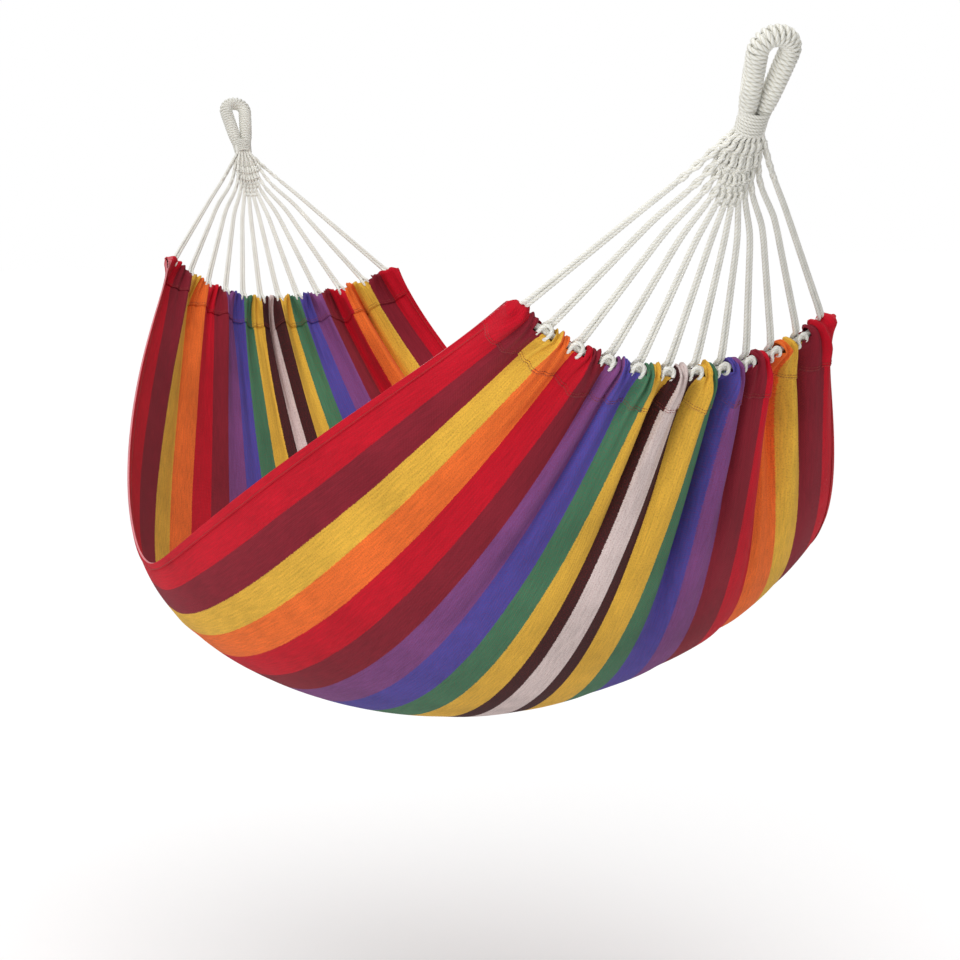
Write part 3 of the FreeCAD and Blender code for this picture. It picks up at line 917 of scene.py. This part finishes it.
# %% Colours and a way to add nodes
def linear(code):
    """An sRGB hex colour as the linear values that a shader takes."""
    parts = [int(code[i:i + 2], 16) / 255 for i in (1, 3, 5)]
    return tuple(c / 12.92 if c <= 0.04045 else ((c + 0.055) / 1.055) ** 2.4 for c in parts) + (1.0,)


def add(tree, kind, inputs=(), **settings):
    """A node with its settings; inputs is a dict of socket name or number to a value or an output."""
    node = tree.nodes.new(kind)
    for key, value in settings.items():
        setattr(node, key, value)
    for key, value in dict(inputs).items():
        if isinstance(value, bpy.types.NodeSocket):
            tree.links.new(value, node.inputs[key])
        else:
            node.inputs[key].default_value = value
    return node


def new_material(name):
    """A material with an empty node tree, and that tree."""
    material = bpy.data.materials.new(name)
    material.use_nodes = True
    material.node_tree.nodes.clear()
    return material, material.node_tree


RED, MAROON, YELLOW, ORANGE = "#C80F26", "#84202E", "#E9B843", "#F4742F"
PURPLE, BLUE, GREEN, DARK, WHITE = "#7D4A84", "#4B4BA0", "#3F7C5C", "#36201F", "#E2D2CE"
HALF_STRIPES = (RED, MAROON, YELLOW, ORANGE, RED, MAROON, PURPLE, BLUE, GREEN, YELLOW)
WEFT = "#8C1F2C"
SELVEDGE, SELVEDGE_WIDTH = "#DE8F94", 0.011           # a few pale yarns at the very edge
STRIPES = [(code, 1.0) for code in HALF_STRIPES] + [(DARK, 0.5), (WHITE, 1.0), (DARK, 0.5)]
STRIPES += [(code, 1.0) for code in reversed(HALF_STRIPES)]
STRIPES[0] = STRIPES[-1] = (RED, 1.0 - SELVEDGE_WIDTH)
STRIPES = [(SELVEDGE, SELVEDGE_WIDTH)] + STRIPES + [(SELVEDGE, SELVEDGE_WIDTH)]
UNITS = sum(width for _, width in STRIPES)
print("stripes:", len(STRIPES), "over", UNITS, "widths of %.1f mm" % (1000 * CLOTH_WIDTH / UNITS))

# %% [markdown]
# Cotton yarn is matt, with uneven thick places called slubs, and loose fibre on it catches the
# light at grazing angles. The real threads are about half a millimetre apart, too fine to show,
# so the weave is drawn more than three times as coarse. Sizes below are in metres, and a number of
# noise cells is for each metre of cloth.

# %% Woven cotton
THREAD_SPACING, FLECK, RAGGED, WANDER = 0.0018, 0.0024, 0.0022, 0.004
TOOTH = (40.0, 900.0, 1.0)            # cells of 25 mm across the stripes by one weft thread
SLUB = (420.0, 26.0, 1.0)             # cells of 2.4 mm across a warp yarn by 38 mm along it
DRIFT, WEAR = 5.0, 7.0                # cells of 200 and 140 mm


def striped_cotton(name):
    """Yarn-dyed plain weave: matt, with a faint bloom of loose fibre at grazing angles."""
    material, tree = new_material(name)
    uv = add(tree, "ShaderNodeUVMap", uv_map="Cloth")
    split = add(tree, "ShaderNodeSeparateXYZ", {0: uv.outputs[0]})
    per_thread = add(tree, "ShaderNodeMapping", {0: uv.outputs[0], 3: TOOTH})
    tooth = add(tree, "ShaderNodeTexNoise", {0: per_thread.outputs[0], "Scale": 1.0, "Detail": 1.0})
    drift = add(tree, "ShaderNodeTexNoise", {0: uv.outputs[0], "Scale": DRIFT, "Detail": 1.0})
    centred = add(tree, "ShaderNodeMath", {0: tooth.outputs[0], 1: 0.5}, operation="SUBTRACT")
    ragged_by = add(tree, "ShaderNodeMath", {0: centred.outputs[0], 1: RAGGED * 2, 2: split.outputs[0]},
                    operation="MULTIPLY_ADD")
    wander = add(tree, "ShaderNodeMath", {0: drift.outputs[0], 1: 0.5}, operation="SUBTRACT")
    place = add(tree, "ShaderNodeMath", {0: wander.outputs[0], 1: WANDER, 2: ragged_by.outputs[0]},
                operation="MULTIPLY_ADD")
    ramp = add(tree, "ShaderNodeValToRGB", {0: place.outputs[0]})
    ramp.color_ramp.interpolation = "CONSTANT"
    reached = 0.0
    for number, (code, width) in enumerate(STRIPES):
        stops = ramp.color_ramp.elements
        stop = stops[0] if number == 0 else stops.new(reached / UNITS)
        stop.position, stop.color = reached / UNITS, linear(code)
        reached += width
    ramp.color_ramp.elements.remove(ramp.color_ramp.elements[-1])

    crossing = add(tree, "ShaderNodeMapping", {0: uv.outputs[0], 3: (1 / THREAD_SPACING,) * 2 + (1.0,)})
    crossings = add(tree, "ShaderNodeSeparateXYZ", {0: crossing.outputs[0]})
    turns = [add(tree, "ShaderNodeMath", {0: crossings.outputs[k], 1: math.pi}, operation="MULTIPLY")
             for k in (0, 1)]
    sines = [add(tree, "ShaderNodeMath", {0: turn.outputs[0]}, operation="SINE") for turn in turns]
    weave = add(tree, "ShaderNodeMath", {0: sines[0].outputs[0], 1: sines[1].outputs[0]},
                operation="MULTIPLY")
    fleck = add(tree, "ShaderNodeTexNoise", {0: uv.outputs[0], "Scale": 1 / FLECK, "Detail": 3.0,
                                             "Roughness": 0.7})
    shown = add(tree, "ShaderNodeMapRange", {0: fleck.outputs[0], 1: 0.48, 2: 0.72, 3: 0.03, 4: 0.48})
    dyed = add(tree, "ShaderNodeMix", {0: shown.outputs[0], 6: ramp.outputs[0], 7: linear(WEFT)},
               data_type="RGBA")
    slub = add(tree, "ShaderNodeMapping", {0: uv.outputs[0], 3: SLUB})
    slubs = add(tree, "ShaderNodeTexNoise", {0: slub.outputs[0], "Scale": 1.0, "Detail": 2.0})
    worn = add(tree, "ShaderNodeTexNoise", {0: uv.outputs[0], "Scale": WEAR, "Detail": 3.0})
    both = add(tree, "ShaderNodeMath", {0: slubs.outputs[0], 1: worn.outputs[0]}, operation="ADD")
    tone = add(tree, "ShaderNodeMapRange", {0: both.outputs[0], 1: 0.7, 2: 1.3, 3: 0.80, 4: 1.17})
    toned = add(tree, "ShaderNodeHueSaturation", {"Color": dyed.outputs[2], "Value": tone.outputs[0]})
    heights = add(tree, "ShaderNodeMath", {0: fleck.outputs[0], 1: 0.9, 2: weave.outputs[0]},
                  operation="MULTIPLY_ADD")
    bump = add(tree, "ShaderNodeBump", {"Height": heights.outputs[0], "Strength": 0.45,
                                        "Distance": 0.0004})
    rough = add(tree, "ShaderNodeMapRange", {0: slubs.outputs[0], 3: 0.80, 4: 0.95})
    shader = add(tree, "ShaderNodeBsdfPrincipled", {"Base Color": toned.outputs[0],
                 "Roughness": rough.outputs[0], "Specular IOR Level": 0.12, "Sheen Weight": 0.04,
                 "Sheen Roughness": 0.5, "Normal": bump.outputs[0]})
    add(tree, "ShaderNodeOutputMaterial", {0: shader.outputs[0]})
    return material


bed_cotton = striped_cotton("striped cotton, plain woven")

# %% [markdown]
# The cords and bindings are undyed cotton, laid from three soft strands: off white, matt and a little
# fuzzy, with a greyer painted shade down in the grooves and fine yarns slanting across each strand.
# An even white would make the ridges vanish against a pale wall, so the shade between them is painted.
# A cord's own map gives the place round it and the metres along it, so the painted shading turns
# with the strands.

# %% Natural cotton cord
YARN_WIDTH = 0.0016
FUZZ, SOILING = 1100.0, 40.0          # noise cells in a metre: 0.9 mm and 25 mm


def cotton_cord(name, ridge, groove_shade, strands=3):
    """Undyed cotton, twisted: no gloss, with shade painted in, strand by strand, from the ridge down into the
    groove.
    """
    material, tree = new_material(name)
    uv = add(tree, "ShaderNodeUVMap", uv_map="Cord")
    split = add(tree, "ShaderNodeSeparateXYZ", {0: uv.outputs[0]})
    lobes = add(tree, "ShaderNodeMath", {0: split.outputs[0], 1: math.pi * strands}, operation="MULTIPLY")
    ridge_line = add(tree, "ShaderNodeMath", {0: lobes.outputs[0]}, operation="SINE")
    height = add(tree, "ShaderNodeMath", {0: ridge_line.outputs[0]}, operation="ABSOLUTE")
    yarn = add(tree, "ShaderNodeMath", {0: split.outputs[1], 1: 1 / YARN_WIDTH}, operation="MULTIPLY")
    slant = add(tree, "ShaderNodeMath", {0: split.outputs[0], 1: 2.0 * strands, 2: yarn.outputs[0]},
                operation="MULTIPLY_ADD")
    turned = add(tree, "ShaderNodeMath", {0: slant.outputs[0], 1: 2 * math.pi}, operation="MULTIPLY")
    yarns = add(tree, "ShaderNodeMath", {0: turned.outputs[0]}, operation="SINE")
    place = add(tree, "ShaderNodeTexCoord")
    fuzz = add(tree, "ShaderNodeTexNoise", {0: place.outputs["Object"], "Scale": FUZZ, "Detail": 3.0})
    soiled = add(tree, "ShaderNodeTexNoise", {0: place.outputs["Object"], "Scale": SOILING, "Detail": 2.0})
    # painted shade: away from each strand's ridge the colour darkens towards the groove's shade colour
    shade = add(tree, "ShaderNodeMapRange", {0: height.outputs[0], 1: 0.15, 2: 0.75, 3: 1.0, 4: 0.0})
    colour = add(tree, "ShaderNodeMix", {0: shade.outputs[0], 6: linear(ridge), 7: linear(groove_shade)},
                 data_type="RGBA")
    mottle = add(tree, "ShaderNodeMath", {0: fuzz.outputs[0], 1: soiled.outputs[0]}, operation="ADD")
    tone = add(tree, "ShaderNodeMapRange", {0: mottle.outputs[0], 1: 0.7, 2: 1.3, 3: 0.90, 4: 1.05})
    toned = add(tree, "ShaderNodeHueSaturation", {"Color": colour.outputs[2], "Value": tone.outputs[0]})
    fine = add(tree, "ShaderNodeMath", {0: fuzz.outputs[0], 1: 0.7, 2: yarns.outputs[0]},
               operation="MULTIPLY_ADD")
    bump = add(tree, "ShaderNodeBump", {"Height": fine.outputs[0], "Strength": 0.22, "Distance": 0.0002})
    shader = add(tree, "ShaderNodeBsdfPrincipled", {"Base Color": toned.outputs[0], "Roughness": 0.9,
                 "Specular IOR Level": 0.2, "Sheen Weight": 0.15, "Sheen Roughness": 0.6,
                 "Normal": bump.outputs[0]})
    add(tree, "ShaderNodeOutputMaterial", {0: shader.outputs[0]})
    return material


# each pair is the ridge's own colour and the painted shade of the grooves
natural_cord = cotton_cord("natural cotton cord, laid", "#F5F4EE", "#E3DFD0")
# the whipping's copy is a little greyer all over, with a deeper painted shade in its grooves
whipping_cord = cotton_cord("natural cotton cord, whipped tight", "#F1F0E9", "#DCD8CA")

# %% [markdown]
# Sewing thread is spun polyester: a red-brown with a slight sheen, and a twist too fine to see.
# Noise at about the thread's own width is enough to break its colour from stitch to stitch.

# %% Sewing thread
THREAD_GRAIN = 900.0                  # noise cells in a metre: 1.1 mm


def sewing_thread(name, code):
    """Spun thread, a little glossier than the cloth that it holds."""
    material, tree = new_material(name)
    place = add(tree, "ShaderNodeTexCoord")
    grain = add(tree, "ShaderNodeTexNoise", {0: place.outputs["Object"], "Scale": THREAD_GRAIN,
                                             "Detail": 2.0})
    tone = add(tree, "ShaderNodeMapRange", {0: grain.outputs[0], 3: 0.75, 4: 1.25})
    toned = add(tree, "ShaderNodeHueSaturation", {"Color": linear(code), "Value": tone.outputs[0]})
    bump = add(tree, "ShaderNodeBump", {"Height": grain.outputs[0], "Strength": 0.3, "Distance": 0.0001})
    shader = add(tree, "ShaderNodeBsdfPrincipled", {"Base Color": toned.outputs[0], "Roughness": 0.55,
                 "Normal": bump.outputs[0]})
    add(tree, "ShaderNodeOutputMaterial", {0: shader.outputs[0]})
    return material


seam_thread = sewing_thread("spun polyester thread, red-brown", "#8E2F25")

# %% [markdown]
# Every piece takes its material, and most stand for the plain CAD solids that they replace. The bed,
# its hems, seams and end ropes ride on the hammock's body, the eyes and neck bindings on the eyes'. The
# cords and woven tops cross the swing joint at the neck. Riding on one body they would tear away
# from the other, so they ride on neither, and their place is baked into their meshes.

# %% Materials and bodies
BLEND_REACH = 0.045


def dress(piece, material, body="hammock", stands_for=()):
    """Gives a piece its material, the body it rides on and the CAD nodes it replaces."""
    piece.data.materials.clear()
    piece.data.materials.append(material)
    if body:
        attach(piece, body)
    if stands_for:
        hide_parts(*stands_for)


def cross_neck(piece, end):
    """Bakes a piece of the fan into its mesh where it stands; the neck and a point below it are found, but
    not used.
    """
    neck, low = mirror(near_neck, end), mirror(fan_point(0.0, BLEND_REACH), end)
    tuple(neck)
    tuple(low)
    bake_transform(piece)


dress(bed_cloth, bed_cotton, stands_for=("bed_cloth",))
for (word, end), hem in zip(ENDS, hems.values()):
    dress(hem, bed_cotton, stands_for=("%s_end_casing" % word,))
    dress(end_ropes[end], natural_cord, stands_for=("%s_end_rope" % word,))
    dress(bindings[word], whipping_cord, "eyes", ("%s_neck_wrap" % word,))
    core, whip = eyes[word]
    dress(core, natural_cord, "eyes", ("%s_eye_core" % word,))
    dress(whip, whipping_cord, "eyes", ("%s_eye_wrap" % word,))
    dress(woven_tops[word], natural_cord, None, ("%s_clew" % word,))
    cross_neck(woven_tops[word], end)
    for i in range(ATTACHMENTS):
        dress(cords[word, i], natural_cord, None, ("%s_cord_%02d" % (word, i + 1),))
        cross_neck(cords[word, i], end)
for hem in side_hems.values():
    dress(hem, bed_cotton)
for line in seams:
    dress(line, seam_thread)

# %% [markdown]
# The hammock hangs over a pale floor in a pale world. Stronger lamps would turn both white, and
# wash out the cloth with them. Instead only camera and glossy rays see the world as white, and
# only camera rays see the floor glow a little, so the light on the hammock stays at a plain level.

# %% Floor and world
FLOOR_Z, FLOOR_SIZE, FLOOR_GLOW = -1.35, 60, 0.28
AMBIENT = 0.37
bpy.ops.mesh.primitive_grid_add(x_subdivisions=8, y_subdivisions=8, size=FLOOR_SIZE,
                                location=(-1, 0, FLOOR_Z))
floor = bpy.context.object
floor.name = "floor"
white_floor, tree = new_material("matt white studio floor")
place = add(tree, "ShaderNodeTexCoord")
grain = add(tree, "ShaderNodeTexNoise", {0: place.outputs["Object"], "Scale": 30.0, "Detail": 3.0})
tone = add(tree, "ShaderNodeMapRange", {0: grain.outputs[0], 3: 0.79, 4: 0.81})
shader = add(tree, "ShaderNodeBsdfDiffuse", {0: tone.outputs[0]})
glow = add(tree, "ShaderNodeEmission", {0: (1, 1, 1, 1), 1: FLOOR_GLOW})
seen = add(tree, "ShaderNodeLightPath")
both = add(tree, "ShaderNodeAddShader", {0: shader.outputs[0], 1: glow.outputs[0]})
mixed = add(tree, "ShaderNodeMixShader", {0: seen.outputs["Is Camera Ray"], 1: shader.outputs[0],
                                          2: both.outputs[0]})
add(tree, "ShaderNodeOutputMaterial", {0: mixed.outputs[0]})
floor.data.materials.append(white_floor)

world = bpy.data.worlds.new("pale studio")
bpy.context.scene.world = world
world.use_nodes = True
tree = world.node_tree
tree.nodes.clear()
seen = add(tree, "ShaderNodeLightPath")
plain = add(tree, "ShaderNodeMath", {0: seen.outputs["Is Camera Ray"], 1: seen.outputs["Is Glossy Ray"]},
            operation="MAXIMUM")
level = add(tree, "ShaderNodeMapRange", {0: plain.outputs[0], 3: AMBIENT, 4: 1.0})
sky = add(tree, "ShaderNodeBackground", {0: (1, 1, 1, 1), 1: level.outputs[0]})
add(tree, "ShaderNodeOutputWorld", {0: sky.outputs[0]})
print("floor at z %.2f m, world at %.2f" % (FLOOR_Z, AMBIENT))

# %% [markdown]
# Two lamps shape the cloth: a very wide sun from above, as soft as an overcast sky, and a large
# disk in front that fills the side under the near edge. One small lamp would cut hard shadows
# into the pleats.

# %% Lamps
def hang_lamp(lamp, place, direction):
    """Puts a lamp at its place, shining in a direction."""
    holder = bpy.data.objects.new(lamp.name, lamp)
    holder.location = place
    holder.rotation_euler = Vector(direction).to_track_quat("-Z", "Y").to_euler()
    bpy.context.scene.collection.objects.link(holder)


overhead = bpy.data.lights.new("overhead", "SUN")
overhead.energy, overhead.angle = 1.75, math.radians(75)
hang_lamp(overhead, (0, 0, 0), (-0.10, 0.20, -1.0))

front_fill = bpy.data.lights.new("front fill", "AREA")
front_fill.shape, front_fill.size, front_fill.energy = "DISK", 2.2, 46
fill_place, bed_middle = Vector((1.6, -2.8, 0.6)), Vector((middle_x, 0.0, -0.5))
hang_lamp(front_fill, fill_place, bed_middle - fill_place)
print("lamps:", [(lamp.name, round(lamp.energy, 2)) for lamp in bpy.data.lights])

# %% [markdown]
# The camera stands past the near eye and a little to the front, at about the height of the cords,
# and looks back along the hammock through a long lens, so the near end is not blown up. Its
# direction is given by yaw and pitch, with a slight roll.

# %% Camera
YAW, PITCH, ROLL, LENS = 1.225, -0.125, -0.008, 90.65
camera = bpy.data.objects.new("camera", bpy.data.cameras.new("camera"))
camera.location = (2.114, -1.066, -0.122)
forward = Vector((-math.sin(YAW) * math.cos(PITCH), math.cos(YAW) * math.cos(PITCH), math.sin(PITCH)))
turned = forward.to_track_quat("-Z", "Y") @ Quaternion((0, 0, 1), ROLL)
camera.rotation_euler = turned.to_euler()
camera.data.lens, camera.data.sensor_width = LENS, 36.0
bpy.context.scene.collection.objects.link(camera)
bpy.context.scene.camera = camera
bpy.context.scene.view_settings.view_transform = "Standard"
print("camera:", [round(v, 2) for v in camera.location], "lens %.1f mm" % camera.data.lens)
